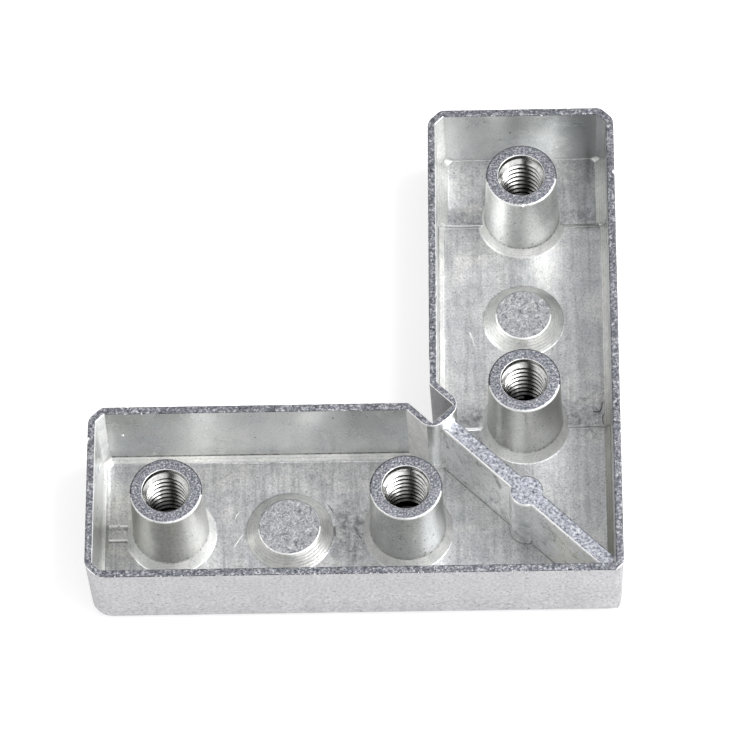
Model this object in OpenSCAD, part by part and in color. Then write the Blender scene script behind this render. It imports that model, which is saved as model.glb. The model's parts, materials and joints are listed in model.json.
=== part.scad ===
/* [Tray] */
// Width of each arm across the rim
arm_w = 24; // [20:0.5:32]
// Reach of each arm from the crossing of the arm centre lines to its end at the rim
arm_reach = 55; // [52:0.5:90]
// Height from the outer face to the rim
body_h = 13; // [10:0.25:20]
// Wall thickness at the rim
wall_t = 1; // [0.8:0.05:1.6]
// Thickness of the floor
floor_t = 1; // [0.8:0.1:2]
// Draft angle of the outer walls
outer_draft = 1.25; // [0.5:0.25:2]
// Draft angle of the inner walls
inner_draft = 0.5; // [0.25:0.25:2]
// Radius of the rounded edges of the outer face
edge_r = 2.4; // [1:0.1:3]
// Radius of the outer corner where the arms meet
corner_r = 1.6; // [1:0.1:2.5]
// Chamfer of the two upright corners at each arm end
end_chamfer = 1.65; // [1:0.05:2.5]
// Chamfer between the floor and the inner walls
floor_chamfer = 0.8; // [0.4:0.1:1.2]

/* [Inner corner notch] */
// Width of the square notch that runs along the diagonal into the inner corner
notch_w = 3.7; // [2.5:0.1:5]
// Depth of the notch from the inner corner along the diagonal
notch_depth = 2.4; // [1.5:0.1:3.5]
// Wall thickness round the notch
notch_wall_t = 0.9; // [0.8:0.05:1.6]
// Radius of the two rounded corners inside the tray round the notch
notch_r = 2; // [0.5:0.1:2.5]

/* [Diagonal rib] */
// Thickness of the diagonal rib
rib_t = 2.1; // [1.4:0.1:3]
// Drop of the rib's top below the rim
rib_drop = 1.5; // [0.5:0.1:3]
// Diameter of the round post in the rib, at its top
post_d = 4.3; // [3:0.1:6]

/* [Threaded bosses] */
// Distance of the near boss from the crossing of the arm centre lines
boss_near = 15; // [13:0.5:18]
// Distance between the two bosses of one arm
boss_pitch = 30; // [26:0.5:32]
// Diameter of a boss at its top
boss_top_d = 9.1; // [8.5:0.1:11]
// Diameter of a boss where it meets its foot
boss_base_d = 9.6; // [9.2:0.1:12]
// Width of the conical foot round each boss
boss_foot_w = 0.9; // [0.3:0.1:1.2]
// Height of the conical foot round each boss
boss_foot_h = 1.5; // [0.6:0.1:2]
// Diameter of the threaded hole inside its thread
thread_d = 5; // [4:0.1:6]
// Metal left between the full depth of the thread and the outer face
thread_floor = 3; // [2.5:0.1:6]
// Point angle of the drill that made the hole
drill_angle = 118; // [90:1:140]
// Width of the cone between the thread and the wider mouth of its hole
thread_sink = 0.5; // [0.2:0.05:0.8]
// Depth of the wider mouth above the cone
mouth_depth = 0.9; // [0.3:0.1:1.5]

/* [Ejector pads] */
// Diameter of each pad at the floor
pad_base_d = 11.2; // [9:0.1:12]
// Height of the pad in the first arm
pad_a_h = 1.7; // [0.8:0.1:2.5]
// Height of the pad in the second arm
pad_b_h = 2.1; // [0.8:0.1:2.5]

/* [Second arm's floor] */
// Height of the second arm's floor above the floor of the first arm
second_floor_h = 0.4; // [0.2:0.05:0.6]
// How far the second arm's floor runs past the near boss's axis towards the corner
second_floor_past = 0.6; // [0:0.1:2]
// Height of the raised floor at the arm's end above the rest of its floor
step_h = 0.65; // [0.4:0.05:0.9]
// How far the raised floor runs past the far boss's axis towards the corner
step_past = 1; // [0:0.1:2]
// Width of the ramps that run up from the raised floor into the side walls
ramp_w = 1.35; // [0.8:0.05:1.6]
// Width of the ramps that run up from the raised floor into the chamfered corners
corner_ramp_w = 0.65; // [0.4:0.05:1]

/* [Hidden] */
$fn = 96;
// Overrun of cuts past the faces that they open
slack = 1;
// How far a rounding circle stands proud of the faces it blends, so that it cuts them cleanly
ease = 0.03;
half_w = arm_w / 2;
plan_w = arm_reach + half_w;
plan_mid = plan_w / 2 - half_w;
sweep_len = 3 * plan_w;
rib_top = body_h - rib_drop;
boss_far = boss_near + boss_pitch;
pad_at = boss_near + boss_pitch / 2;
second_floor_z = floor_t + second_floor_h;
raised_z = second_floor_z + step_h;
step_at = boss_far - step_past;
diagonal = half_w * sqrt(2);
notch_floor = diagonal - notch_depth;
notch_len = notch_depth + notch_w + 2 * notch_wall_t;
// Distance between the planes of opposite end chamfers
chamfer_w = sqrt(2) * (plan_w - end_chamfer);
// Radius of the flat that the drill leaves at the bottom of a hole
drill_flat_r = 0.3;

// Outer cross-section, w wide at the rim, with sloping sides and rounded lower edges
module outer_section(w) {
    slope = tan(outer_draft);
    foot = w / 2 - body_h * slope;
    round_z = edge_r - ease;
    round_x = foot + round_z * slope + ease - edge_r;
    difference() {
        polygon([[-w / 2, body_h], [-foot, 0], [foot, 0], [w / 2, body_h]]);
        for (side = [0, 1]) mirror([side, 0]) translate([round_x, round_z]) difference() {
            translate([0, -2 * edge_r]) square(2 * edge_r);
            circle(edge_r);
        }
    }
}

// Cross-section of the hollow inside walls w apart, with chamfers along the floor
module hollow_section(w) {
    slope = tan(inner_draft);
    inside = w / 2 - wall_t;
    top_x = inside + slack * slope;
    chamfer_z = floor_t + floor_chamfer;
    chamfer_x = inside - (body_h - chamfer_z) * slope;
    floor_x = chamfer_x - floor_chamfer;
    polygon([
        [-top_x, body_h + slack], [-chamfer_x, chamfer_z], [-floor_x, floor_t],
        [floor_x, floor_t], [chamfer_x, chamfer_z], [top_x, body_h + slack]
    ]);
}

// Sweeps a cross-section evenly both ways along X
module along_x() {
    rotate([90, 0, 90]) translate([0, 0, -sweep_len / 2]) linear_extrude(sweep_len) children();
}

// Draws a shape on the first arm and its mirror image on the second
module both_arms() {
    children();
    mirror([1, 1, 0]) children();
}

// Cross-section of the tray's outside or of its hollow
module section(w, hollow) {
    if (hollow) hollow_section(w);
    else outer_section(w);
}

// L-shaped body with chamfered ends: the tray's outside, or its hollow
module tray(hollow) {
    intersection() {
        translate([0, plan_mid, 0]) along_x() section(plan_w, hollow);
        translate([-plan_mid, 0, 0]) rotate([0, 0, 90]) along_x() section(plan_w, hollow);
        rotate([0, 0, 45]) along_x() section(chamfer_w, hollow);
        rotate([0, 0, -45]) along_x() section(chamfer_w, hollow);
        both_arms() translate([0, -half_w, 0]) along_x() section(2 * arm_w, hollow);
    }
}

// What is cut away outside the rounded corner where the arms meet
module corner_trim() {
    slope = tan(outer_draft);
    axis_at = half_w - corner_r + ease;
    trim_w = 2 * corner_r;
    translate([axis_at, -axis_at, 0]) difference() {
        translate([0, -trim_w, -slack]) cube([trim_w, trim_w, body_h + 2 * slack]);
        translate([0, 0, -2 * slack]) cylinder(
            h = body_h + 4 * slack,
            r1 = corner_r - (body_h + 2 * slack) * slope,
            r2 = corner_r + 2 * slack * slope
        );
    }
}

// Places a shape drawn along +X on the diagonal that runs out through the inner corner
module on_diagonal() {
    rotate([0, 0, 135]) children();
}

// Wall that closes the tray round the notch, with rounded corners inside the tray
module notch_wall() {
    wall_w = notch_w + 2 * notch_wall_t;
    wall_at = notch_floor - notch_wall_t;
    r = min(notch_r, wall_w / 2 - ease);
    on_diagonal() linear_extrude(body_h + slack) {
        translate([wall_at + r, -wall_w / 2]) square([notch_len, wall_w]);
        translate([wall_at, r - wall_w / 2]) square([notch_len, wall_w - 2 * r]);
        for (y = [r - wall_w / 2, wall_w / 2 - r]) translate([wall_at + r, y]) circle(r);
    }
}

// The square notch itself, open from the rim to the outer face
module notch_slot() {
    on_diagonal() translate([notch_floor, -notch_w / 2, -slack])
        cube([notch_len, notch_w, body_h + 2 * slack]);
}

// Diagonal rib from the outer corner to the notch, with its round post
module rib() {
    on_diagonal() linear_extrude(rib_top) {
        translate([-2 * diagonal, -rib_t / 2]) square([2 * diagonal + notch_floor, rib_t]);
        circle(d = post_d);
    }
}

// Tapered boss with a conical foot that ends on a floor at height z
module boss(z) {
    base_r = boss_base_d / 2;
    foot_z = floor_t + boss_foot_h;
    foot_r = base_r + boss_foot_w * foot_z / (foot_z - z);
    rotate_extrude() polygon([
        [0, 0], [foot_r, 0], [base_r, foot_z], [boss_top_d / 2, body_h], [0, body_h]
    ]);
}

// Blind hole for a thread, with a wider mouth and a drill point
module threaded_hole() {
    r = thread_d / 2;
    mouth_r = r + thread_sink;
    mouth_z = body_h - mouth_depth;
    tip_z = thread_floor - (r - drill_flat_r) / tan(drill_angle / 2);
    rotate_extrude() polygon([
        [0, tip_z], [drill_flat_r, tip_z], [r, thread_floor], [r, mouth_z - thread_sink],
        [mouth_r, mouth_z], [mouth_r, body_h + slack], [0, body_h + slack]
    ]);
}

// Low round pad h high with a side that slopes at 45 degrees
module pad(h) {
    base_r = pad_base_d / 2;
    rotate_extrude() polygon([
        [0, 0], [base_r + floor_t, 0], [base_r - h, floor_t + h], [0, floor_t + h]
    ]);
}

// Distance from the middle of a hollow w wide outside to the foot of a ramp beside its floor at height z
function ramp_foot(w, z, ramp) = w / 2 - wall_t - ramp - (body_h - z - ramp) * tan(inner_draft);

// Floor of the second arm at height z, from its end to y, with ramps that run up into the side walls
module arm_floor(y, z, ramp) {
    foot = ramp_foot(arm_w, z, ramp);
    rise_z = z + half_w - foot;
    translate([0, arm_reach, 0]) rotate([90, 0, 0]) linear_extrude(arm_reach - y) polygon([
        [-half_w, 0], [half_w, 0], [half_w, rise_z], [foot, z], [-foot, z], [-half_w, rise_z]
    ]);
}

// Ramps that run up into the two chamfered corners at the end of the second arm
module corner_ramps() {
    foot = ramp_foot(chamfer_w, raised_z, corner_ramp_w);
    low = raised_z - step_h / 2;
    reach = chamfer_w / 2;
    intersection() {
        translate([-half_w, step_at, 0]) cube([arm_w, arm_reach - step_at, body_h]);
        for (turn = [45, -45]) rotate([0, 0, turn]) along_x() polygon([
            [foot - step_h / 2, low], [reach, low], [reach, raised_z + reach - foot]
        ]);
    }
}

// Places a shape at each of the four bosses
module at_bosses() {
    both_arms() for (x = [boss_near, boss_far]) translate([-x, 0, 0]) children();
}

// The four bosses; the far one of the second arm stands on the higher floor
module bosses() {
    both_arms() translate([-boss_near, 0, 0]) boss(floor_t);
    translate([-boss_far, 0, 0]) boss(floor_t);
    translate([0, boss_far, 0]) boss(second_floor_z);
}

// Everything that stands inside the tray
module inner_features() {
    rib();
    notch_wall();
    arm_floor(boss_near - second_floor_past, second_floor_z, floor_chamfer);
    arm_floor(step_at, raised_z, ramp_w);
    corner_ramps();
    bosses();
    translate([-pad_at, 0, 0]) pad(pad_a_h);
    translate([0, pad_at, 0]) pad(pad_b_h);
}

module bracket() {
    color("silver") difference() {
        tray(false);
        difference() {
            tray(true);
            inner_features();
        }
        corner_trim();
        notch_slot();
        at_bosses() threaded_hole();
    }
}

bracket();
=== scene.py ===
import json
import math
import random

import bmesh
import bpy
from mathutils import Matrix, Vector


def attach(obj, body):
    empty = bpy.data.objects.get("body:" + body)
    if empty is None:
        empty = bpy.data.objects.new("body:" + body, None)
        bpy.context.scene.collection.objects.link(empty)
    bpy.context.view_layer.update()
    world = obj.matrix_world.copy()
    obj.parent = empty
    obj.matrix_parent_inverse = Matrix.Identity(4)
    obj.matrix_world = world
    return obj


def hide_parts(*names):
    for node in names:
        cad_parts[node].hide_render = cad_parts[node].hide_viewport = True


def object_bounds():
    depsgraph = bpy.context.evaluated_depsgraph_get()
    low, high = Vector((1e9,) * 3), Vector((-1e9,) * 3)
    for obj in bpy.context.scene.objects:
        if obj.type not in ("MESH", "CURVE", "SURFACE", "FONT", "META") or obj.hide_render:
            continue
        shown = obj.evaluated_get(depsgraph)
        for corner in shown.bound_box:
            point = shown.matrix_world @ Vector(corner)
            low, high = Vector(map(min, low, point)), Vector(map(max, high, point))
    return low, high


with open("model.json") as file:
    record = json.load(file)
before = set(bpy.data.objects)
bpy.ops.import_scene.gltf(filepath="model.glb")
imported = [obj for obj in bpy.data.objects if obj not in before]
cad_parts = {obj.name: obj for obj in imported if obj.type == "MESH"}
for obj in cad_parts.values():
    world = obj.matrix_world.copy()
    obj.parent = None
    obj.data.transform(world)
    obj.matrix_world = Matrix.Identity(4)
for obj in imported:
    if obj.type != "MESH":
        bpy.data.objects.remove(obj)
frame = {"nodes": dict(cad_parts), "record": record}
cad_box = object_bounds()

# Shapes are worked out in millimetres and scaled to metres when a mesh is done.
MM = 0.001

# Half the arms' width, how far they reach from the crossing of their centre lines, and the rim's height
ARM_HALF, ARM_REACH, RIM_Z = (round(v / MM, 3) for v in cad_box[1])
# Heights of the floor and of the rib's top
FLOOR_Z = 1.0
RIB_TOP_Z = 11.5
# Axes of the threaded bosses and of the ejector pads, in plan
BOSSES = [
    tuple(round(v / MM, 3) for v in mount["pos_m"][:2])
    for mount in frame["record"]["mounts"] if mount["kind"] == "threaded_hole"
]
PADS = ((-30.0, 0.0), (0.0, 30.0))
# Half the rib's thickness and the radius of its post
RIB_HALF = 1.05
POST_R = 2.15
# Where the second arm's floor steps up: height, place along the arm, and surfaces of its edge and its face
# on the right
FLOOR_STEPS = ((2.05, 44.0, "seam", "wall"), (1.4, 14.4, "floor", "ramp"))
# Heights where the walls meet the slopes at their feet, and the stretch of y where they do
WALL_FEET = ((1.8, -11.0, 14.0), (2.2, 14.5, 43.9), (3.4, 44.0, 55.0))
# The square notch in the inner corner: where it starts along the diagonal, half its width, and the same
# for the stretch of wall round it
NOTCH_FROM = 14.55
NOTCH_HALF = 1.87
BY_NOTCH_FROM = 11.0
BY_NOTCH_HALF = 3.2
# Cut corners at the rim: sum or difference of x and y along the cuts at the arm ends and the outer corner
END_CUT = 65.35
CORNER_CUT = 22.8
# Where the corners of the arm ends begin, measured the same way, on all walls and on the inner ones
END_CORNER = 61.5
INNER_END_CORNER = 60.0
# Past these lie the outer corner, across both arms, the first arm's end wall and the right wall's foot
OUTER_CORNER = 10.4
END_WALL_X = -52.5
RIGHT_FOOT_X = 9

# Radii round a boss's axis: its bore and mouth, with their edges, its side, its top and its foot
CORE_EDGE_R = 2.7
BORE_R = 3.06
MOUTH_EDGE_R = 3.3
MOUTH_RING_R = 3.6
BOSS_R = 4.8
BOSS_TOP_R = 4.9
BOSS_FOOT_R = 6.2
# Height where a boss's side meets the slope at its foot
BOSS_FOOT_Z = 2.5
# Depth of the plain mouth and its cone above the thread
MOUTH_DEPTH = 1.4
# Radii round a pad's axis, of its top and its foot, and a height just under the tops
PAD_TOP_R = 4.2
PAD_R = 6.0
PAD_EDGE_Z = 2.5

# Screw thread cut into the bosses; outside its middle radius the flanks are painted dark as shadow
THREAD_PITCH = 1.0
THREAD_ROOT_R = 2.95
THREAD_MID_R = 2.72
THREAD_CORE_R = 2.42
THREAD_ROOT_HALF = 0.07
THREAD_FLANK = math.tan(math.radians(30))
THREAD_START_Z = 3.4
THREAD_TURNS = 9.3
THREAD_STEPS = 72
# Where the thread of each boss starts, in radians round its axis
THREAD_STARTS = (2.2, 0.9, 1.6, 0.4)

# Widths of the roundings along the edges
ROUNDING = {
    "end_corner": 0.8,
    "end_foot": 0.38,
    "mouth": 0.12,
    "boss_top": 0.3,
    "rim": 0.16,
    "rib_left": 0.48,
    "rib_right": 0.22,
    "rib_root": 0.3,
    "pad_foot": 0.15,
    "foot": 0.12,
    "upright": 0.25,
    "inner_upright": 0.12,
}
ROUND_SEGMENTS = 3
# Share of its width that the rounding of an end corner has at the bottom, and what it gains per millimetre
END_ROUND_BASE = 0.2
END_ROUND_GAIN = 0.95
# Bends in degrees: the least that is rounded, at an end corner and elsewhere, the most that is taken
# for flat, and the least that shows as an edge
END_BEND = 9
LEAST_BEND = 14
FLAT_BEND = 0.6
EDGE_BEND = 34
# An edge that rises less than this is level, and one that is longer follows a wall
LEVEL_RISE = 0.02
LONG_EDGE = 5
# How near an edge lies to the height that it belongs to
LEVEL_GAP = 0.05
# Heights between which the feet of walls, bosses and pads lie, and the foot of the first arm's end wall
FOOT_LOW_Z = 0.9
FOOT_HIGH_Z = 3.3
END_FOOT_HIGH_Z = 2.0
# Edges round the post that are closer to its axis than this stay sharp
POST_EDGE_R = 2.6
# Points closer than this are one, and triangles lower than this are slivers
MERGE_GAP = 0.002
SLIVER_H = 0.004
MOST_SLIVERS = 100
# How far large faces outweigh small ones in the shading
FACE_WEIGHT = 90

# Lines in the floor: kind, height of the floor, width, depth and points in plan
FLOOR_LINES = (
    ("light", 2.05, 0.22, 0.06, (
        (-4.5, 48.9), (-5.0, 48.0), (-5.35, 47.4), (-5.7, 47.05), (-6.2, 46.75), (-7.3, 46.55),
        (-9.1, 46.45),
    )),
    ("light", 1.0, 0.12, 0.03, ((-39.2, 3.57), (-37.6, 3.57), (-36.1, 3.5))),
    ("light", 1.0, 0.12, 0.03, (
        (-36.1, 3.2), (-36.5, 2.95), (-36.82, 2.5), (-36.98, 1.95), (-36.95, 1.45), (-36.75, 1.0),
        (-36.4, 0.7),
    )),
    ("light", 1.0, 0.12, 0.03, ((-35.9, -0.1), (-36.6, -1.2), (-37.1, -2.05))),
    ("light", 1.0, 0.1, 0.03, ((9.6, 1.1), (8.6, -0.3))),
    ("light", 1.4, 0.1, 0.03, ((-9.1, 24.9), (-8.2, 24.15), (-7.5, 23.7))),
    ("light", 1.4, 0.26, 0.05, ((-7.0, 28.5), (-6.75, 27.9), (-6.55, 27.3), (-6.4, 26.4))),
    ("dark", 1.0, 0.16, 0.08, ((-25.2, 3.9), (-24.8, 3.35), (-24.45, 2.7))),
    ("dark", 1.0, 0.16, 0.08, ((-24.3, 0.9), (-24.25, -0.6))),
    ("dark", 1.0, 0.14, 0.06, ((-21.75, 0.4), (-20.9, -1.1))),
    ("dark", 1.4, 0.2, 0.12, ((8.7, 16.65), (9.2, 16.45), (9.6, 16.6), (9.8, 17.1), (9.88, 17.9))),
    ("dark", 1.4, 0.16, 0.12, ((9.98, 16.2), (9.92, 15.5), (9.98, 14.7))),
)
# How far the prisms that cut these lines stand out of the floor
LINE_RISE = 0.02
# Slack round a line in the floor: under its bottom, under the floor and beside it, and the highest line
LINE_UNDER = 0.01
LINE_SKIN = 0.002
LINE_BESIDE = 0.03
LINE_TOP_Z = 2.1
# Raised casting mark on the floor at the end of the first arm: x range and section in y and z
CAST_MARK_X = (-53.0, -50.5)
CAST_MARK_SECTION = (
    (-1.02, 0.9), (-0.95, 1.16), (-0.76, 1.18), (-0.6, 1.09),
    (0.62, 1.09), (0.98, 1.34), (1.3, 1.34), (1.48, 0.9),
)
# Heights above the floor between which the mark's ridges lie
CAST_MARK_RIDGE = (0.02, 0.5)
# Small lumps left on the casting: place and radius
LUMPS = (
    (-51.0, 10.93, 7.4, 0.24), (10.2, 43.9, 2.05, 0.22), (-51.7, 1.2, 1.22, 0.24), (-52.6, 1.25, 1.22, 0.2),
)
# Nicks in the rim and in a boss's top edge: place and radius
NICKS = (
    (-55.05, 7.3, 13.05, 0.5), (12.05, 45.2, 13.05, 0.4), (0.3, 40.45, 13.0, 0.3),
    (-41.5, -11.0, 13.05, 0.25),
)
# Straight edges of the rim, outside and inside, along which it is ragged
RIM_EDGES = (
    ((-52.0, -12.0), (9.0, -12.0)), ((12.0, -9.0), (12.0, 52.0)), ((-52.0, 12.0), (-17.0, 12.0)),
    ((-12.0, 17.0), (-12.0, 52.0)), ((-55.0, -9.0), (-55.0, 6.0)), ((-9.0, 55.0), (9.0, 55.0)),
    ((-51.0, -11.0), (8.0, -11.0)), ((11.0, -8.0), (11.0, 51.0)), ((-51.0, 11.0), (-18.0, 11.0)),
    ((-11.0, 18.0), (-11.0, 51.0)), ((-9.0, 54.0), (9.0, 54.0)),
)
# Bites out of those edges: ranges of their half sizes, of the first gap along an edge and of the next ones
BITE_LONG = (0.2, 0.7)
BITE_DEEP = (0.07, 0.16)
BITE_TALL = (0.12, 0.25)
FIRST_GAP = (0.5, 2.0)
NEXT_GAP = (0.6, 2.6)
BITE_SEED = 7

# Patches of the floor, the walls, the rib and the bosses: middle and half sizes along x and y. The floor's
# dull patches, the wall's patch and the first two boss patches darken colour as painted shade; the floor's
# bright patches and the last boss patch lighten it as painted light; the warm patches are a warmer tone.
SHADED_FLOOR = (
    (-7.5, 45.2, 4.5, 1.7), (8.0, 45.0, 4.0, 1.6), (-6.5, 15.9, 3.6, 1.8), (8.2, 16.6, 4.2, 4.4),
    (-22.4, 0.0, 3.6, 5.0),
)
LIT_FLOOR = ((-8.5, 49.5, 3.6, 4.6), (-5.0, 38.0, 6.0, 3.4), (-33.0, 8.0, 7.0, 3.0))
WARM_FLOOR = ((-51.5, 0.0, 3.8, 10.0),)
SHADED_WALL = ((8.8, 54.0, 4.6, 3.0),)
WARM_RIB = ((5.8, -7.2, 5.0, 5.0),)
SHADED_BOSS = ((-45.0, 0.0, 12.0, 12.0), (0.0, 15.0, 12.0, 12.0))
LIT_BOSS = ((0.0, 45.0, 12.0, 12.0),)
# Where a patch fades, as a share of its half sizes
PATCH_EDGE = (1.0, 1.5)
# Stretch of y along which painted shade on the right wall's foot deepens toward the outer corner, with
# painted light at the far end
SHADED_FOOT_Y = (-10.0, 26.0)
# Heights between which painted shade on the thread deepens toward the bottom
SHADED_BORE_Z = (5.0, 10.5)

# How far a face's normal points up, at least, on a level face, a floor, a pad's edge, the top of a ridge
# of the casting mark, a step's edge and a rounding
LEVEL = 0.95
FLOOR_TILT = 0.8
PAD_EDGE_TILT = 0.75
RIDGE_TILT = 0.5
STEP_EDGE_TILT = 0.2
ROUND_TILT = 0.1
# The same, between two values, on the sides of a line in the floor and on the seam at a wall's foot
LINE_TILT = (0.2, 0.999)
WALL_SEAM_TILT = (0.1, 0.6)
# How far it points down on the underside, and along an axis on a face that is turned that way
UNDERSIDE_TILT = -0.05
TURNED = 0.3
# How far it points to the front on the near half of a boss's top edge and on a ridge's near side
NEAR_EDGE = -0.1
RIDGE_SIDE = -0.4
# Reach in height of level tops and of the roundings of the rim, of the rib's top and of the mouths
TOP_GAP = 0.06
RIM_ROUND = 0.3
RIB_ROUND = 0.52
MOUTH_ROUND = 0.13
# Reach of the seams painted with shade: beside the rib and its highest point, round a boss and in height
# there, and in height at a wall's foot
RIB_SEAM = 0.15
RIB_SEAM_Z = 1.16
BOSS_SEAM = 0.12
BOSS_SEAM_H = 0.1
WALL_SEAM_H = 0.08
# Reach of a floor step's rounding, and how far down its face goes
STEP_REACH = 0.15
STEP_DEPTH = 0.6
# Slack of the radii of a boss's side and of its thread
BOSS_SLACK = 0.05
THREAD_SLACK = 0.02
# Faces this near to the rib and its post are the rib's sides
RIB_SIDE = 0.3
# How far in front of a face the space is that tells whether it lies inside the tray
PROBE = 0.4

# The floor of the studio: size in metres, grey, and how far it shines by itself where it is seen
STAGE_SIZE = 3.0
STAGE_GREY = 0.56
STAGE_GLOW = 0.61
# Brightness of the studio by direction; these are multiplied
LEFT_LIGHT, RIGHT_LIGHT = 1.1, 1.2
FRONT_LIGHT, BACK_LIGHT = 1.1, 0.72
# How far to either side, and to the front and back, a direction points where these are reached
SIDE_SPAN = 0.7
FRONT_SPAN = 0.6
# Share of that light that comes from low at the back, and where the back begins and the low part ends
BACK_LOW_LIGHT = 0.3
BACK_FROM = (0.15, 0.5)
LOW_TO = (0.5, 0.8)
# The studio is dark in one upright strip behind the camera: the way to it, the way across it, its light,
# where its sides fade, and where it begins
DARK_WAY = (-0.316, -0.949, 0.0)
DARK_SIDE = (0.949, -0.316, 0.0)
DARK_LIGHT = 0.03
DARK_EDGE = (0.1, 0.36)
DARK_FROM = (0.2, 0.36)
# Softbox at the right: place, what it points at, and width and height, in metres, and power in watts
SOFTBOX_PLACE = (0.36, -0.02, 0.46)
SOFTBOX_TARGET = (-0.02, 0.02, 0.0)
SOFTBOX_SIZE = (0.45, 0.5)
SOFTBOX_POWER = 4.4
# Camera: place in metres, the way it looks from in degrees, and lens and sensor in millimetres
CAMERA_PLACE = (0.000473, -0.336294, 0.650436)
CAMERA_AZIMUTH = 3.136
CAMERA_ELEVATION = 61.035
CAMERA_ROLL = -3.658
CAMERA_LENS = 277.2
CAMERA_SENSOR = 36.0
CAMERA_NEAREST = 0.01


def distance_to(points, co):
    """Distance in plan from a point to the nearest of some upright axes."""
    return min(math.hypot(co.x - x, co.y - y) for x, y in points)


def diagonal(x, y):
    """Place along the line from the outer corner to the inner one, and across it."""
    return (y - x) / math.sqrt(2), (x + y) / math.sqrt(2)


def by_notch(co):
    """True beside the square notch in the inner corner."""
    along, across = diagonal(co.x, co.y)
    return along > BY_NOTCH_FROM and abs(across) < BY_NOTCH_HALF


def round_width(edge):
    """Width of the rounding along an edge of the casting; 0 leaves the edge as it is."""
    bend = math.degrees(edge.calc_face_angle_signed(0.0))
    a, b = (v.co for v in edge.verts)
    mid = (a + b) / 2
    rise = abs(a.z - b.z)
    convex = bend > 0
    level = rise < LEVEL_RISE
    at_rim = mid.z > RIM_Z - LEVEL_GAP
    end_corner = abs(mid.x + mid.y) > END_CORNER or mid.y - mid.x > END_CORNER
    if bend > END_BEND and end_corner and not at_rim and not level:
        return ROUNDING["end_corner"] * min(1.0, END_ROUND_BASE + END_ROUND_GAIN * mid.z)
    if abs(bend) < LEAST_BEND:
        return 0.0
    at_end_foot = mid.x < END_WALL_X and FOOT_LOW_Z < mid.z < END_FOOT_HIGH_Z
    if at_end_foot and edge.calc_length() > LONG_EDGE:
        return ROUNDING["end_foot"]
    boss_r = distance_to(BOSSES, mid)
    if boss_r < CORE_EDGE_R:
        return 0.0
    if level and at_rim:
        if boss_r < MOUTH_EDGE_R:
            return ROUNDING["mouth"]
        return ROUNDING["boss_top" if boss_r < BOSS_TOP_R else "rim"]
    if level and abs(mid.z - RIB_TOP_Z) < LEVEL_GAP:
        if convex:
            return ROUNDING["rib_left" if mid.x + mid.y < 0 else "rib_right"]
        return ROUNDING["rib_root"]
    if FOOT_LOW_Z < mid.z < FOOT_HIGH_Z:
        return ROUNDING["pad_foot" if distance_to(PADS, mid) < PAD_R else "foot"]
    by_post = math.hypot(mid.x, mid.y) < POST_EDGE_R
    outer_corner = mid.x > OUTER_CORNER and mid.y < -OUTER_CORNER
    if rise > LONG_EDGE and not by_post and not outer_corner:
        return ROUNDING["upright" if convex else "inner_upright"]
    return 0.0


def apply_modifiers(ob):
    """Puts the result of an object's modifiers into its mesh."""
    deps = bpy.context.evaluated_depsgraph_get()
    mesh = bpy.data.meshes.new_from_object(ob.evaluated_get(deps))
    ob.modifiers.clear()
    ob.data = mesh


def new_object(name, bm):
    """Object that holds a finished bmesh, linked to the scene."""
    mesh = bpy.data.meshes.new(name)
    bm.to_mesh(mesh)
    bm.free()
    ob = bpy.data.objects.new(name, mesh)
    bpy.context.scene.collection.objects.link(ob)
    return ob


def mend_slivers(bm):
    """Takes out triangles whose corners lie on one line, by splitting their long sides."""
    for _ in range(MOST_SLIVERS):
        slivers = [
            (face, longest) for face in bm.faces
            for longest in [max(face.edges, key=lambda e: e.calc_length())]
            if face.calc_area() < SLIVER_H / 2 * longest.calc_length()
        ]
        if not slivers:
            return
        face, longest = slivers[0]
        tip = next(v for v in face.verts if v not in longest.verts)
        start = longest.verts[0]
        share = (tip.co - start.co).length / longest.calc_length()
        middle = bmesh.utils.edge_split(longest, start, share)[1]
        bmesh.ops.pointmerge(bm, verts=[tip, middle], merge_co=tip.co)


def rounded_casting(solid):
    """Copy of the solid with cast-in fillets in its corners and soft edges."""
    bm = bmesh.new()
    bm.from_mesh(solid.data)
    bm.transform(Matrix.Scale(1 / MM, 4))
    bmesh.ops.remove_doubles(bm, verts=bm.verts, dist=MERGE_GAP)
    mend_slivers(bm)
    bmesh.ops.dissolve_limit(bm, angle_limit=math.radians(FLAT_BEND), verts=bm.verts, edges=bm.edges)
    weight = bm.edges.layers.float.new("bevel_weight_edge")
    for edge in bm.edges:
        edge[weight] = round_width(edge)
    ob = new_object("casting", bm)
    bevel = ob.modifiers.new("fillets", "BEVEL")
    bevel.limit_method = "WEIGHT"
    bevel.width = 1.0
    bevel.segments = ROUND_SEGMENTS
    bevel.use_clamp_overlap = False
    bevel.loop_slide = False
    apply_modifiers(ob)
    return ob


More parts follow.
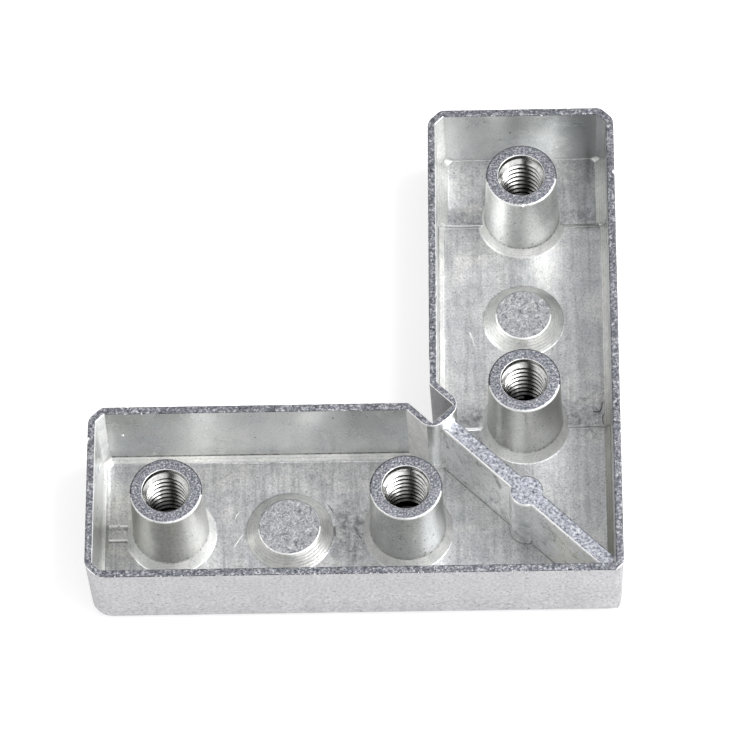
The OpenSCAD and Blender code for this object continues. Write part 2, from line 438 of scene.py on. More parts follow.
def thread_tap(x, y, turn):
    """Solid screw that cuts a thread groove, its groove starting turn radians round the axis."""
    flank = (THREAD_ROOT_R - THREAD_CORE_R) * THREAD_FLANK
    inner_flank = (THREAD_MID_R - THREAD_CORE_R) * THREAD_FLANK
    middle = 0.5
    low = middle - THREAD_ROOT_HALF - flank
    high = middle + THREAD_ROOT_HALF + flank
    rows = (
        (low, THREAD_CORE_R), (low + inner_flank, THREAD_MID_R), (low + flank, THREAD_ROOT_R),
        (high - flank, THREAD_ROOT_R), (high - inner_flank, THREAD_MID_R), (high, THREAD_CORE_R),
    )
    top = len(rows) - 1
    steps = THREAD_STEPS
    count = int(THREAD_TURNS * steps) + 1
    bm = bmesh.new()
    rings = []
    for i in range(count):
        angle = 2 * math.pi * i / steps
        c, s = math.cos(angle + turn), math.sin(angle + turn)
        z0 = THREAD_START_Z + THREAD_PITCH * i / steps
        rings.append([bm.verts.new((x + r * c, y + r * s, z0 + z * THREAD_PITCH)) for z, r in rows])
    for i in range(count - 1):
        for k in range(top):
            bm.faces.new((rings[i][k], rings[i + 1][k], rings[i + 1][k + 1], rings[i][k + 1]))
    for i in range(count - 1 - steps):
        bm.faces.new((rings[i][top], rings[i + 1][top], rings[i + steps + 1][0], rings[i + steps][0]))
    last = count - 1
    lower_end = [rings[i][0] for i in range(steps + 1)] + [rings[0][k] for k in range(top, 0, -1)]
    upper_end = [rings[last - i][top] for i in range(steps + 1)] + [rings[last][k] for k in range(top)]
    for loop in (lower_end, upper_end):
        centre = bm.verts.new((x, y, sum(v.co.z for v in loop) / len(loop)))
        for i, v in enumerate(loop):
            bm.faces.new((v, centre, loop[(i + 1) % len(loop)]))
    bmesh.ops.recalc_face_normals(bm, faces=bm.faces)
    return new_object("tap", bm)


def add_lump(bm, place, size):
    """Adds a closed ball, stretched to three sizes, to a bmesh."""
    turn = Matrix.Translation(place) @ Matrix.Diagonal((*size, 1.0))
    bmesh.ops.create_icosphere(bm, subdivisions=2, radius=1.0, matrix=turn)


def add_floor_lines(bm):
    """Adds closed prisms that leave the lines in the floor."""
    for _, floor_z, width, depth, points in FLOOR_LINES:
        points = [Vector(p) for p in points]
        top_z = floor_z + LINE_RISE
        rings = []
        for i, p in enumerate(points):
            along = (points[min(i + 1, len(points) - 1)] - points[max(i - 1, 0)]).normalized()
            side = Vector((-along.y, along.x)) * width / 2
            left, right = p + side, p - side
            corners = ((left.x, left.y, top_z), (right.x, right.y, top_z), (p.x, p.y, floor_z - depth))
            rings.append([bm.verts.new(corner) for corner in corners])
        for a, b in zip(rings, rings[1:]):
            for k in range(3):
                bm.faces.new((a[k], a[(k + 1) % 3], b[(k + 1) % 3], b[k]))
        bm.faces.new(rings[0])
        bm.faces.new(rings[-1])


def add_rim_bites(bm):
    """Adds closed balls that leave the rim ragged."""
    dice = random.Random(BITE_SEED)
    for (x0, y0), (x1, y1) in RIM_EDGES:
        length = math.hypot(x1 - x0, y1 - y0)
        at = dice.uniform(*FIRST_GAP)
        while at < length:
            share = at / length
            long, deep, tall = dice.uniform(*BITE_LONG), dice.uniform(*BITE_DEEP), dice.uniform(*BITE_TALL)
            size = (long, deep, tall) if abs(x1 - x0) > abs(y1 - y0) else (deep, long, tall)
            add_lump(bm, (x0 + (x1 - x0) * share, y0 + (y1 - y0) * share, RIM_Z), size)
            at += long * 2 + dice.uniform(*NEXT_GAP)


def add_cast_mark(bm):
    """Adds the casting mark, a low plate with a ridge along two of its sides."""
    ends = [[bm.verts.new((x, y, z)) for y, z in CAST_MARK_SECTION] for x in CAST_MARK_X]
    for loop in ends:
        bm.faces.new(loop)
    count = len(CAST_MARK_SECTION)
    for k in range(count):
        after = (k + 1) % count
        bm.faces.new((ends[0][k], ends[0][after], ends[1][after], ends[1][k]))


def add_balls(bm, places):
    """Adds closed balls, given as place and radius."""
    for x, y, z, r in places:
        add_lump(bm, (x, y, z), (r, r, r))


def closed_tool(name, fill, *values):
    """Object with the closed shapes that fill(bm, ...) builds."""
    bm = bmesh.new()
    fill(bm, *values)
    bmesh.ops.recalc_face_normals(bm, faces=bm.faces)
    return new_object(name, bm)


def combine(body, tool, how):
    """Joins a closed tool to the body or takes it out, and deletes the tool."""
    mod = body.modifiers.new("combine", "BOOLEAN")
    mod.operation = how
    mod.solver = "EXACT"
    mod.object = tool
    apply_modifiers(body)
    mesh = tool.data
    bpy.data.objects.remove(tool)
    bpy.data.meshes.remove(mesh)


def shade_by_angle(mesh, degrees):
    """Smooth shading, broken at edges that bend more than an angle."""
    bm = bmesh.new()
    bm.from_mesh(mesh)
    for face in bm.faces:
        face.smooth = True
    for edge in bm.edges:
        edge.smooth = edge.calc_face_angle(0.0) < math.radians(degrees)
    bm.to_mesh(mesh)
    bm.free()


def make_casting(solid):
    """The bracket in metres, with its fillets, threads, scratches, ragged rim, nicks, lumps and mark."""
    casting = rounded_casting(solid)
    for turn, (x, y) in zip(THREAD_STARTS, BOSSES):
        combine(casting, thread_tap(x, y, turn), "DIFFERENCE")
    combine(casting, closed_tool("floor_lines", add_floor_lines), "DIFFERENCE")
    combine(casting, closed_tool("rim_bites", add_rim_bites), "DIFFERENCE")
    combine(casting, closed_tool("nicks", add_balls, NICKS), "DIFFERENCE")
    combine(casting, closed_tool("lumps", add_balls, LUMPS), "UNION")
    combine(casting, closed_tool("cast_mark", add_cast_mark), "UNION")
    casting.name = "bracket_casting"
    shade_by_angle(casting.data, EDGE_BEND)
    casting.data.transform(Matrix.Scale(MM, 4))
    normals = casting.modifiers.new("face_normals", "WEIGHTED_NORMAL")
    normals.keep_sharp = True
    normals.weight = FACE_WEIGHT
    apply_modifiers(casting)
    return casting


def node(tree, kind, inputs=(), **settings):
    """Adds a shader node, with its settings and with its inputs set or linked."""
    made = tree.nodes.new("ShaderNode" + kind)
    for key, value in settings.items():
        setattr(made, key, value)
    for key, value in dict(inputs).items():
        if isinstance(value, bpy.types.NodeSocket):
            tree.links.new(value, made.inputs[key])
        else:
            made.inputs[key].default_value = value
    return made


def millimetres(tree):
    """Position on the casting in millimetres."""
    place = node(tree, "TexCoord").outputs["Object"]
    return node(tree, "VectorMath", {0: place, "Scale": 1 / MM}, operation="SCALE").outputs[0]


def maths(tree, how, a, b):
    """One sum of two numbers."""
    return node(tree, "Math", {0: a, 1: b}, operation=how).outputs[0]


def vectors(tree, how, a, b):
    """One sum of two vectors."""
    return node(tree, "VectorMath", {0: a, 1: b}, operation=how).outputs[0]


def rescale(tree, value, low, high, at_low, at_high):
    """Number that goes from at_low to at_high as a value goes from low to high, and no further."""
    return node(tree, "MapRange", {0: value, 1: low, 2: high, 3: at_low, 4: at_high}).outputs[0]


def noise(tree, place, per_mm, detail=2.0, rough=0.5, warp=0.0):
    """Noise value from 0 to 1 with a number of features per millimetre."""
    return node(tree, "TexNoise", {
        "Vector": place, "Scale": per_mm, "Detail": detail, "Roughness": rough, "Distortion": warp,
    }).outputs["Fac"]


def ramp(tree, value, *stops):
    """Colour ramp through (position, colour) stops; a number stands for a grey."""
    made = node(tree, "ValToRGB", {"Fac": value})
    elements = made.color_ramp.elements
    while len(elements) < len(stops):
        elements.new(0.5)
    for element, (position, colour) in zip(elements, stops):
        element.position = position
        grey = isinstance(colour, (int, float))
        element.color = (colour, colour, colour, 1) if grey else (*colour, 1)
    return made.outputs["Color"]


def lit(light_gain, stops):
    """Stops of a ramp with their colours times a light gain, which paints light and shade."""
    return [(position, tuple(light_gain * v for v in colour)) for position, colour in stops]


def blend_colours(tree, how, amount, a, b):
    """Mixes two colours."""
    made = node(tree, "Mix", {0: amount}, data_type="RGBA", blend_type=how)
    for socket, value in ((made.inputs[6], a), (made.inputs[7], b)):
        if isinstance(value, bpy.types.NodeSocket):
            tree.links.new(value, socket)
        else:
            socket.default_value = (*value, 1)
    return made.outputs[2]


def times(tree, tone, tint, amount=1.0):
    """Colour times a tint, all over or where an amount says."""
    return blend_colours(tree, "MULTIPLY", amount, tone, tint)


def metal(name, build, metallic):
    """Aluminium surface; build(tree, place) returns its colour, roughness and (height, depth in mm)."""
    mat = bpy.data.materials.new(name)
    mat.use_nodes = True
    tree = mat.node_tree
    shader = tree.nodes["Principled BSDF"]
    shader.inputs["Metallic"].default_value = metallic
    colour, roughness, (height, depth) = build(tree, millimetres(tree))
    tree.links.new(colour, shader.inputs["Base Color"])
    tree.links.new(roughness, shader.inputs["Roughness"])
    bump = node(tree, "Bump", {"Strength": 1.0, "Distance": depth * MM, "Height": height})
    tree.links.new(bump.outputs[0], shader.inputs["Normal"])
    return mat


def pinholes(tree, place, tone, per_mm, share, size, colour):
    """Colour with sparse pinholes in it: cells per millimetre, share of them that hold one, and its size."""
    cell = node(tree, "TexVoronoi", {"Vector": place, "Scale": per_mm})
    near = maths(tree, "LESS_THAN", cell.outputs["Distance"], size)
    red = node(tree, "SeparateColor", {0: cell.outputs["Color"]}).outputs[0]
    inside = maths(tree, "MULTIPLY", near, maths(tree, "LESS_THAN", red, share))
    return blend_colours(tree, "MIX", inside, tone, colour)


def crevice_shade(tree, reach, darkest):
    """Grey multiplier that paints shade into the metal's inner corners, darkest where they are most
    enclosed.
    """
    open_share = node(tree, "AmbientOcclusion", {"Distance": reach * MM}, samples=6).outputs["AO"]
    return ramp(tree, open_share, (0.25, darkest), (0.75, 1.0))


def patches(tree, place, rounds):
    """1 inside some round patches in plan, falling to 0 at their ragged edges."""
    ragged = noise(tree, place, 0.5, detail=4.0, rough=0.6)
    share = 0.0
    for x, y, half_x, half_y in rounds:
        off = vectors(tree, "SUBTRACT", place, (x, y, 0.0))
        flat = vectors(tree, "MULTIPLY", off, (1 / half_x, 1 / half_y, 0.0))
        away = node(tree, "VectorMath", {0: flat}, operation="LENGTH").outputs["Value"]
        away = maths(tree, "ADD", away, ragged)
        share = maths(tree, "MAXIMUM", share, rescale(tree, away, *PATCH_EDGE, 1.0, 0.0))
    return share


def cast_floor(tree, place):
    """Look of the floor: clouds, mottle, flecks and streaks, warm patches, painted light in patches and
    painted shade in patches and corners.
    """
    cloud = noise(tree, place, 0.16, detail=5.0, rough=0.6, warp=1.2)
    grain = noise(tree, place, 4.2, detail=3.0, rough=0.65)
    mottle = noise(tree, place, 1.1, detail=5.0, rough=0.7, warp=0.6)
    streak = noise(tree, vectors(tree, "MULTIPLY", place, (1.6, 0.12, 1.0)), 1.0, detail=4.0, rough=0.6)
    tones = ((0.32, (0.44, 0.45, 0.47)), (0.5, (0.51, 0.515, 0.525)), (0.66, (0.59, 0.59, 0.585)))
    tints = ((0.3, (0.8, 0.805, 0.82)), (0.5, (0.96, 0.963, 0.97)), (0.68, (1.06, 1.06, 1.05)))
    tone = times(tree, ramp(tree, cloud, *tones), ramp(tree, mottle, *tints))
    tone = times(tree, tone, ramp(tree, grain, (0.3, 0.62), (0.46, 0.95), (0.68, 1.2)))
    tone = times(tree, tone, ramp(tree, streak, (0.34, 0.82), (0.5, 1.0), (0.66, 1.1)))
    # Painted shade in the dull patches and painted light in the bright ones
    patch_shade = ramp(tree, mottle, (0.36, 0.55), (0.5, 0.8), (0.62, 1.0))
    tone = times(tree, tone, patch_shade, patches(tree, place, SHADED_FLOOR))
    tone = times(tree, tone, (1.22, 1.21, 1.19), patches(tree, place, LIT_FLOOR))
    tone = times(tree, tone, (0.8, 0.79, 0.75), patches(tree, place, WARM_FLOOR))
    tone = times(tree, tone, crevice_shade(tree, reach=0.7, darkest=0.6))
    tone = pinholes(tree, place, tone, per_mm=0.9, share=0.2, size=0.09, colour=(0.2, 0.2, 0.2))
    rough = ramp(tree, mottle, (0.3, 0.34), (0.7, 0.46))
    return tone, rough, (grain, 0.02)


def cast_wall(tree, place):
    """Look of the inner walls: pale and smooth, with faint flecks, pinholes, painted shade in the corners
    and a patch of painted shade.
    """
    cloud = noise(tree, place, 0.2, detail=4.0, rough=0.55, warp=0.5)
    grain = noise(tree, place, 4.0, detail=3.0, rough=0.6)
    tone = ramp(tree, cloud, (0.3, (0.81, 0.828, 0.825)), (0.7, (0.93, 0.936, 0.92)))
    tone = times(tree, tone, ramp(tree, grain, (0.32, 0.86), (0.52, 1.0), (0.7, 1.04)))
    tone = times(tree, tone, crevice_shade(tree, reach=0.7, darkest=0.5))
    tone = times(tree, tone, (0.62, 0.63, 0.64), patches(tree, place, SHADED_WALL))
    tone = pinholes(tree, place, tone, per_mm=0.7, share=0.14, size=0.1, colour=(0.22, 0.22, 0.2))
    rough = ramp(tree, cloud, (0.3, 0.25), (0.7, 0.32))
    return tone, rough, (grain, 0.006)


def rib_wall(tree, place):
    """Look of the rib's sides: a wall with blotches, and warmer at the outer corner."""
    tone, rough, relief = cast_wall(tree, place)
    blotch = noise(tree, place, 0.42, detail=4.0, rough=0.65, warp=0.8)
    tone = times(tree, tone, ramp(tree, blotch, (0.32, 0.55), (0.44, 1.06), (0.6, 1.15)))
    mottle = noise(tree, place, 1.3, detail=5.0, rough=0.7, warp=1.4)
    tone = times(tree, tone, ramp(tree, mottle, (0.34, 0.66), (0.47, 1.0), (0.64, 1.1)))
    tone = times(tree, tone, (1.1, 1.07, 0.98), patches(tree, place, WARM_RIB))
    return tone, rough, relief


def cast_boss(tree, place):
    """Look of the bosses' sides: greyer than the walls, with flecks, many pinholes, painted shade on two
    bosses and painted light on the farthest.
    """
    cloud = noise(tree, place, 0.5, detail=4.0, rough=0.6, warp=0.5)
    grain = noise(tree, place, 3.4, detail=3.0, rough=0.65)
    tone = ramp(tree, cloud, (0.3, (0.53, 0.54, 0.53)), (0.7, (0.66, 0.663, 0.64)))
    tone = times(tree, tone, ramp(tree, grain, (0.3, 0.7), (0.5, 1.0), (0.7, 1.08)))
    tone = times(tree, tone, (0.8, 0.79, 0.77), patches(tree, place, SHADED_BOSS))
    tone = times(tree, tone, (1.27, 1.27, 1.27), patches(tree, place, LIT_BOSS))
    tone = pinholes(tree, place, tone, per_mm=1.0, share=0.32, size=0.13, colour=(0.2, 0.2, 0.18))
    rough = ramp(tree, cloud, (0.3, 0.31), (0.7, 0.4))
    return tone, rough, (grain, 0.01)


def cast_slope(light_gain):
    """Look of a drafted slope at the foot of a boss, pad or wall; its light gain paints light and shade."""
    def look(tree, place):
        cloud = noise(tree, place, 0.6, detail=4.0, rough=0.6)
        grain = noise(tree, place, 3.2, detail=3.0, rough=0.6)
        lines = node(tree, "TexWave", {
            "Vector": place, "Scale": 1.1, "Distortion": 1.5, "Detail": 3.0, "Detail Scale": 0.7,
        }, wave_type="BANDS", bands_direction="Z").outputs["Fac"]
        tones = ((0.3, (0.76, 0.765, 0.765)), (0.55, (0.9, 0.9, 0.88)), (0.7, (0.97, 0.97, 0.945)))
        tone = ramp(tree, cloud, *lit(light_gain, tones))
        tone = times(tree, tone, ramp(tree, lines, (0.1, 0.9), (0.6, 1.0)))
        tone = times(tree, tone, ramp(tree, grain, (0.3, 0.78), (0.5, 1.0)))
        rough = ramp(tree, cloud, (0.3, 0.4), (0.7, 0.52))
        return tone, rough, (lines, 0.01)
    return look


def corner_slope(tree, place):
    """Look of the right wall's foot, with painted shade deepening toward the outer corner and painted light
    at the far end.
    """
    tone, rough, relief = cast_slope(0.75)(tree, place)
    along = node(tree, "SeparateXYZ", {0: place}).outputs["Y"]
    share = rescale(tree, along, *SHADED_FOOT_Y, 0.0, 1.0)
    tints = ((0.0, (0.3, 0.29, 0.27)), (0.15, (0.66, 0.65, 0.61)), (0.6, (0.9, 0.89, 0.86)), (1.0, 1.28))
    return times(tree, tone, ramp(tree, share, *tints)), rough, relief


def groove_shadow(tree, place):
    """Look of the painted shadow deep in the threads."""
    grain = noise(tree, place, 2.5, detail=3.0, rough=0.6)
    tone = ramp(tree, grain, (0.35, (0.03, 0.03, 0.028)), (0.65, (0.1, 0.1, 0.095)))
    rough = ramp(tree, grain, (0.3, 0.3), (0.7, 0.45))
    return tone, rough, (grain, 0.01)


def seam_shade(light_gain):
    """Look of painted shade along seams, dark lines in the floor and the sides of ridges."""
    def look(tree, place):
        grain = noise(tree, place, 2.0, detail=3.0, rough=0.6)
        tones = ((0.35, (0.17, 0.172, 0.17)), (0.6, (0.46, 0.463, 0.45)))
        tone = ramp(tree, grain, *lit(light_gain, tones))
        rough = ramp(tree, grain, (0.3, 0.45), (0.7, 0.6))
        return tone, rough, (grain, 0.02)
    return look


def peened(light_gain, per_mm):
    """Look of a shot-peened face; its light gain paints light and shade, from dark rims to light rib tops.
    """
    def look(tree, place):
        grain = noise(tree, place, per_mm, detail=4.0, rough=0.72)
        cloud = noise(tree, place, 0.5, detail=3.0)
        tones = ((0.32, (0.03, 0.032, 0.04)), (0.43, (0.137, 0.143, 0.167)), (0.54, (0.258, 0.265, 0.295)))
        tone = ramp(tree, grain, *lit(light_gain, tones), (0.66, (0.8, 0.8, 0.82)))
        tone = times(tree, tone, ramp(tree, cloud, (0.3, 0.8), (0.7, 1.05)))
        rough = ramp(tree, grain, (0.3, 0.5), (0.7, 0.35))
        return tone, rough, (grain, 0.05)
    return look


def pad_skin(tree, place):
    """Look of the ejector pads' tops: a wrinkled grey skin."""
    wrinkle = noise(tree, place, 1.5, detail=5.0, rough=0.72, warp=1.3)
    grain = noise(tree, place, 4.6, detail=3.0, rough=0.7)
    tones = (
        (0.34, (0.16, 0.165, 0.18)), (0.45, (0.345, 0.35, 0.37)),
        (0.56, (0.45, 0.452, 0.47)), (0.66, (0.66, 0.66, 0.67)),
    )
    tone = ramp(tree, wrinkle, *tones)
    tone = times(tree, tone, ramp(tree, grain, (0.32, 0.5), (0.48, 1.0), (0.66, 1.2)))
    rough = ramp(tree, wrinkle, (0.3, 0.5), (0.7, 0.38))
    return tone, rough, (wrinkle, 0.06)


def outer_skin(light_gain):
    """Look of the outer walls: an even grain with sparse dark pinholes; its light gain paints light and
    shade.
    """
    def look(tree, place):
        grain = noise(tree, place, 2.6, detail=4.0, rough=0.75)
        cloud = noise(tree, place, 0.25, detail=3.0)
        tones = ((0.28, (0.2, 0.198, 0.21)), (0.42, (0.42, 0.415, 0.43)), (0.68, (0.6, 0.595, 0.61)))
        tone = ramp(tree, grain, *lit(light_gain, tones))
        tone = times(tree, tone, ramp(tree, cloud, (0.3, 0.88), (0.7, 1.04)))
        dark = (0.24, 0.235, 0.25)
        tone = pinholes(tree, place, tone, per_mm=0.8, share=0.22, size=0.13, colour=dark)
        rough = ramp(tree, cloud, (0.3, 0.42), (0.7, 0.52))
        return tone, rough, (grain, 0.02)
    return look


def edge_highlight(tree, place):
    """Look of an edge with a painted highlight."""
    grain = noise(tree, place, 2.4, detail=3.0, rough=0.6)
    tone = ramp(tree, grain, (0.3, (0.5, 0.51, 0.53)), (0.42, (0.97, 0.97, 0.97)))
    rough = ramp(tree, grain, (0.3, 0.45), (0.6, 0.28))
    return tone, rough, (grain, 0.03)


def cut_thread(tree, place):
    """Look of the cut metal in the bores, with painted shade that deepens down the bore and in the corners.
    """
    grain = noise(tree, place, 2.5, detail=3.0)
    tone = ramp(tree, grain, (0.3, (0.5, 0.5, 0.49)), (0.6, (0.64, 0.64, 0.63)))
    tone = times(tree, tone, crevice_shade(tree, reach=0.5, darkest=0.1))
    height = node(tree, "SeparateXYZ", {0: place}).outputs["Z"]
    share = rescale(tree, height, *SHADED_BORE_Z, 0.0, 1.0)
    tone = times(tree, tone, ramp(tree, share, (0.0, 0.2), (1.0, 1.0)))
    rough = ramp(tree, grain, (0.3, 0.15), (0.7, 0.22))
    return tone, rough, (grain, 0.004)


# Each surface's look, and how far it shines as bare metal: a cast skin scatters part of the light
# The numbers given to the looks are light gains, which paint light and shade into copies of one look
SURFACES = {
    "floor": (cast_floor, 0.9),
    "wall": (cast_wall, 1.0),
    "rib_side": (rib_wall, 1.0),
    "boss": (cast_boss, 1.0),
    "foot": (cast_slope(0.9), 0.65),
    "ramp": (cast_slope(1.0), 0.75),
    "cone": (cast_slope(0.88), 0.95),
    "notch_face": (cast_slope(1.0), 0.1),
    "flank": (corner_slope, 0.85),
    "line": (cast_slope(0.75), 0.85),
    "corner": (cast_slope(0.97), 0.88),
    "seam": (seam_shade(1.0), 1.0),
    "boss_seam": (seam_shade(1.6), 1.0),
    "rim": (peened(1.07, 3.5), 1.0),
    "rim_side": (peened(0.6, 3.0), 1.0),
    "boss_top": (peened(1.25, 3.7), 1.0),
    "rib": (peened(2.0, 2.6), 1.0),
    "pad": (pad_skin, 1.0),
    "outer": (outer_skin(0.97), 1.0),
    "notch": (outer_skin(0.7), 1.0),
    "edge": (edge_highlight, 0.6),
    "thread": (cut_thread, 1.0),
    "groove": (groove_shadow, 1.0),
}


def in_plan(x, y):
    """True inside the tray's outline at the rim, leaving out the notch."""
    in_first_arm = -ARM_REACH < x < ARM_HALF and abs(y) < ARM_HALF
    in_second_arm = abs(x) < ARM_HALF and -ARM_HALF < y < ARM_REACH
    in_ends = abs(x + y) < END_CUT and y - x < END_CUT
    in_corner = x - y < CORNER_CUT
    along, across = diagonal(x, y)
    in_notch = along > NOTCH_FROM and abs(across) < NOTCH_HALF
    return (in_first_arm or in_second_arm) and in_ends and in_corner and not in_notch


def line_at(co):
    """Kind of the line in the floor that a point lies in, if any."""
    for kind, floor_z, width, depth, points in FLOOR_LINES:
        if floor_z - depth - LINE_UNDER < co.z < floor_z - LINE_SKIN:
            for (x0, y0), (x1, y1) in zip(points, points[1:]):
                way_x, way_y = x1 - x0, y1 - y0
                share = ((co.x - x0) * way_x + (co.y - y0) * way_y) / (way_x * way_x + way_y * way_y)
                share = min(1.0, max(0.0, share))
                away = math.hypot(co.x - x0 - share * way_x, co.y - y0 - share * way_y)
                if away < width / 2 + LINE_BESIDE:
                    return kind
    return None


def on_mark_ridge(co):
    """True on one of the two ridges of the casting mark."""
    mark_y = [y for y, _ in CAST_MARK_SECTION]
    in_mark = CAST_MARK_X[0] < co.x < CAST_MARK_X[1] and mark_y[0] < co.y < mark_y[-1]
    on_plate = mark_y[3] < co.y < mark_y[4]
    low, high = CAST_MARK_RIDGE
    return in_mark and not on_plate and FLOOR_Z + low < co.z < FLOOR_Z + high


def mark_surface(co, normal):
    """Surface of a face of the lines in the floor or the casting mark's ridges, or None."""
    slanted = LINE_TILT[0] < normal.z < LINE_TILT[1]
    line = line_at(co) if slanted and co.z < LINE_TOP_Z else None
    # Dark lines get the painted shade of seam
    if line:
        return "line" if line == "light" else "seam"
    # The ridges' tops get lighter looks as painted highlight, their sides the painted shade of seam
    if on_mark_ridge(co):
        if normal.z > RIDGE_TILT and normal.y > RIDGE_SIDE:
            return "line" if co.y > 0 else "foot"
        return "seam"
    return None


def bore_surface(co, boss_r):
    """Surface of a face inside a boss's bore, or None."""
    at_mouth = boss_r < MOUTH_EDGE_R and co.z > RIM_Z - MOUTH_ROUND
    if boss_r >= BORE_R or at_mouth:
        return None
    # Flanks outside the thread's middle radius, below the mouth, are painted dark as shadow
    deep = boss_r > THREAD_MID_R - THREAD_SLACK and co.z < RIM_Z - MOUTH_DEPTH
    return "groove" if deep else "thread"


def top_surface(co, normal, boss_r, outside):
    """Surface of a face of the rim, the boss tops, the rib's top, the pads or their edges, or None."""
    level = normal.z > LEVEL
    near_notch = by_notch(co)
    if level and co.z > RIM_Z - TOP_GAP:
        return "boss_top" if boss_r < BOSS_TOP_R else "rim"
    if level and abs(co.z - RIB_TOP_Z) < TOP_GAP:
        return "rib"
    # Rounded edges get the painted highlight of edge at the pads' front, the mouths, by the notch and where
    # they face the front or the lamp at the right; the other roundings of the boss tops and the outer rim
    # get rim_side, the rim's look in painted shade
    if distance_to(PADS, co) < PAD_TOP_R and co.z > PAD_EDGE_Z:
        if level:
            return "pad"
        if normal.z > PAD_EDGE_TILT and normal.y < 0:
            return "edge"
    if normal.z > ROUND_TILT and co.z > RIM_Z - RIM_ROUND:
        if boss_r < BOSS_TOP_R:
            return "edge" if boss_r < MOUTH_RING_R or normal.y < NEAR_EDGE else "rim_side"
        if outside and not near_notch:
            at_corner = abs(normal.x) > TURNED and normal.y < -TURNED
            return "edge" if at_corner else "rim_side"
        return "edge" if near_notch or normal.x > TURNED else "rim"
    if normal.z > ROUND_TILT and abs(co.z - RIB_TOP_Z) < RIB_ROUND:
        return "edge" if near_notch or normal.x + normal.y < 0 else "rib"
    return None


def step_surface(co, normal):
    """Surface of a face of the steps in the second arm's floor, or None."""
    for step_z, step_y, edge_surface, face_surface in FLOOR_STEPS:
        at_step = abs(co.y - step_y) < STEP_REACH and step_z - STEP_DEPTH < co.z < step_z + STEP_REACH
        if at_step and normal.y < 0 and normal.z < LEVEL:
            at_edge = normal.z > STEP_EDGE_TILT and co.z > step_z - STEP_REACH
            # Left of x = 0 a step's top edge gets a painted highlight; to the right it gets the surface
            # listed for it, which on the higher step is painted shade
            if co.x < 0:
                return "edge" if at_edge else "wall"
            return edge_surface if at_edge else face_surface
    return None


def inner_surface(co, normal, boss_r):
    """Surface of a face of the floor, the walls, the rib, or the bosses and pads with their feet."""
    # Seams at the feet of the bosses, the rib and the walls get painted shade
    if abs(boss_r - BOSS_R) < BOSS_SEAM and abs(co.z - BOSS_FOOT_Z) < BOSS_SEAM_H:
        return "boss_seam"
    off_rib = min(abs(diagonal(co.x, co.y)[1]) - RIB_HALF, math.hypot(co.x, co.y) - POST_R)
    if co.z < RIB_SEAM_Z and normal.z < LEVEL and off_rib < RIB_SEAM:
        return "seam"
    if normal.z > FLOOR_TILT:
        return "floor"
    if boss_r < BOSS_R + BOSS_SLACK:
        return "boss"
    if boss_r < BOSS_FOOT_R:
        return "foot"
    if distance_to(PADS, co) < PAD_R:
        return "cone"
    if normal.z > TURNED and normal.x < -TURNED and co.x > RIGHT_FOOT_X:
        return "flank"
    at_wall_foot = any(abs(co.z - z) < WALL_SEAM_H and low < co.y < high for z, low, high in WALL_FEET)
    if at_wall_foot and WALL_SEAM_TILT[0] < normal.z < WALL_SEAM_TILT[1] and co.x > END_WALL_X:
        return "seam"
    if by_notch(co) and normal.x < -TURNED and normal.y < -TURNED:
        return "notch_face"
    if co.y - co.x > INNER_END_CORNER and normal.x > TURNED and normal.y < -TURNED:
        return "corner"
    if normal.z > TURNED:
        return "ramp"
    return "rib_side" if off_rib < RIB_SIDE else "wall"


def surface_of(co, normal):
    """Which of the surfaces a face belongs to, from its middle and normal."""
    boss_r = distance_to(BOSSES, co)
    probe = co + normal * PROBE
    outside = normal.z < UNDERSIDE_TILT or not in_plan(probe.x, probe.y)
    found = mark_surface(co, normal) or bore_surface(co, boss_r) or top_surface(co, normal, boss_r, outside)
    if found:
        return found
    if outside:
        return "notch" if by_notch(co) else "outer"
    return step_surface(co, normal) or inner_surface(co, normal, boss_r)


def paint(casting):
    """Gives each face of the casting its surface, by the middle of its largest triangle."""
    mesh = casting.data
    mesh.materials.clear()
    for surface, (look, metallic) in SURFACES.items():
        mesh.materials.append(metal("cast_aluminium_" + surface, look, metallic))
    names = list(SURFACES)
    middles = {}
    mesh.calc_loop_triangles()
    for triangle in sorted(mesh.loop_triangles, key=lambda t: t.area):
        middles[triangle.polygon_index] = Vector(triangle.center) / MM
    for face in mesh.polygons:
        face.material_index = names.index(surface_of(middles[face.index], face.normal))


def make_floor():
    """Pale floor that keeps the bracket's shadow, and shines a little where it is seen."""
    bm = bmesh.new()
    bmesh.ops.create_grid(bm, x_segments=1, y_segments=1, size=STAGE_SIZE)
    ob = new_object("studio_floor", bm)
    ob.location.z = cad_box[0][2]
    mat = bpy.data.materials.new("studio_floor")
    mat.use_nodes = True
    tree = mat.node_tree
    tree.nodes.clear()
    diffuse = node(tree, "BsdfDiffuse", {"Color": (STAGE_GREY, STAGE_GREY, STAGE_GREY, 1)})
    path = node(tree, "LightPath").outputs
    seen = maths(tree, "MAXIMUM", path["Is Camera Ray"], path["Is Glossy Ray"])
    seen = maths(tree, "MAXIMUM", seen, path["Is Transmission Ray"])
    glow = node(tree, "Emission", {"Strength": maths(tree, "MULTIPLY", seen, STAGE_GLOW)})
    both = node(tree, "AddShader", {0: diffuse.outputs[0], 1: glow.outputs[0]})
    node(tree, "OutputMaterial", {"Surface": both.outputs[0]})
    ob.data.materials.append(mat)


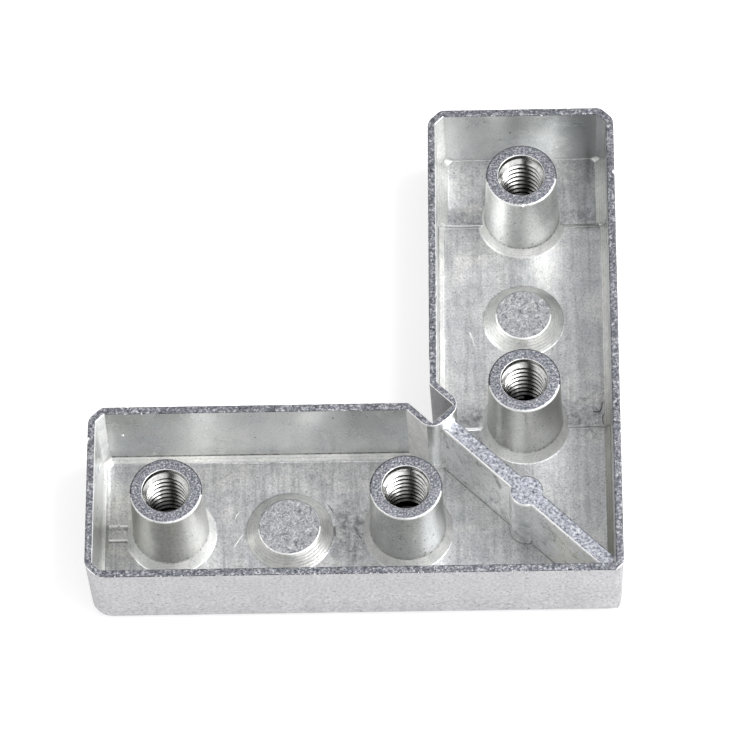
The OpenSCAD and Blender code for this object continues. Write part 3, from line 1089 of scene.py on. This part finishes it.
def make_world():
    """White studio light from all round, with a level that depends on the direction."""
    world = bpy.data.worlds.new("studio")
    bpy.context.scene.world = world
    world.use_nodes = True
    tree = world.node_tree
    tree.nodes.clear()
    way = node(tree, "TexCoord").outputs["Generated"]
    split = node(tree, "SeparateXYZ", {0: way}).outputs
    side = rescale(tree, split["X"], -SIDE_SPAN, SIDE_SPAN, LEFT_LIGHT, RIGHT_LIGHT)
    front = rescale(tree, split["Y"], -FRONT_SPAN, FRONT_SPAN, FRONT_LIGHT, BACK_LIGHT)
    toward = node(tree, "VectorMath", {0: way, 1: DARK_WAY}, operation="DOT_PRODUCT").outputs["Value"]
    beside = node(tree, "VectorMath", {0: way, 1: DARK_SIDE}, operation="DOT_PRODUCT").outputs["Value"]
    beside = node(tree, "Math", {0: beside}, operation="ABSOLUTE").outputs[0]
    in_strip = rescale(tree, beside, *DARK_EDGE, 1.0, 0.0)
    in_front = rescale(tree, toward, *DARK_FROM, 0.0, 1.0)
    dark = maths(tree, "MULTIPLY", in_strip, in_front)
    shade = rescale(tree, dark, 0.0, 1.0, 1.0, DARK_LIGHT)
    back = rescale(tree, split["Y"], *BACK_FROM, 0.0, 1.0)
    low = rescale(tree, split["Z"], *LOW_TO, 1.0, 0.0)
    back_low = maths(tree, "MULTIPLY", back, low)
    fall = rescale(tree, back_low, 0.0, 1.0, 1.0, BACK_LOW_LIGHT)
    level = maths(tree, "MULTIPLY", side, front)
    level = maths(tree, "MULTIPLY", level, maths(tree, "MULTIPLY", shade, fall))
    room = node(tree, "Background", {"Color": (1.0, 1.0, 1.0, 1), "Strength": level})
    node(tree, "OutputWorld", {"Surface": room.outputs[0]})


def make_softbox():
    """Soft lamp at the right, pointed at the bracket."""
    light = bpy.data.lights.new("right_softbox", "AREA")
    light.shape = "RECTANGLE"
    light.size, light.size_y = SOFTBOX_SIZE
    light.energy = SOFTBOX_POWER
    ob = bpy.data.objects.new("right_softbox", light)
    bpy.context.scene.collection.objects.link(ob)
    ob.location = SOFTBOX_PLACE
    ob.rotation_euler = (Vector(SOFTBOX_TARGET) - Vector(SOFTBOX_PLACE)).to_track_quat("-Z", "Y").to_euler()


def make_camera():
    """Camera at the photograph's viewing angle."""
    azimuth = math.radians(CAMERA_AZIMUTH)
    elevation = math.radians(CAMERA_ELEVATION)
    roll = math.radians(CAMERA_ROLL)
    back = Vector((
        math.sin(azimuth) * math.cos(elevation),
        -math.cos(azimuth) * math.cos(elevation),
        math.sin(elevation),
    ))
    right = (-back).cross(Vector((0, 0, 1))).normalized()
    up = right.cross(-back)
    tilted_right = right * math.cos(roll) + up * math.sin(roll)
    tilted_up = up * math.cos(roll) - right * math.sin(roll)
    data = bpy.data.cameras.new("camera")
    data.sensor_width = CAMERA_SENSOR
    data.sensor_fit = "HORIZONTAL"
    data.lens = CAMERA_LENS
    data.clip_start = CAMERA_NEAREST
    ob = bpy.data.objects.new("camera", data)
    bpy.context.scene.collection.objects.link(ob)
    turn = Matrix((tilted_right, tilted_up, back)).transposed()
    ob.matrix_world = Matrix.Translation(CAMERA_PLACE) @ turn.to_4x4()
    bpy.context.scene.camera = ob


casting = make_casting(frame["nodes"]["bracket"])
paint(casting)
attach(casting, "root")
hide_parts("bracket")
make_floor()
make_world()
make_softbox()
make_camera()
bpy.context.scene.view_settings.view_transform = "Standard"
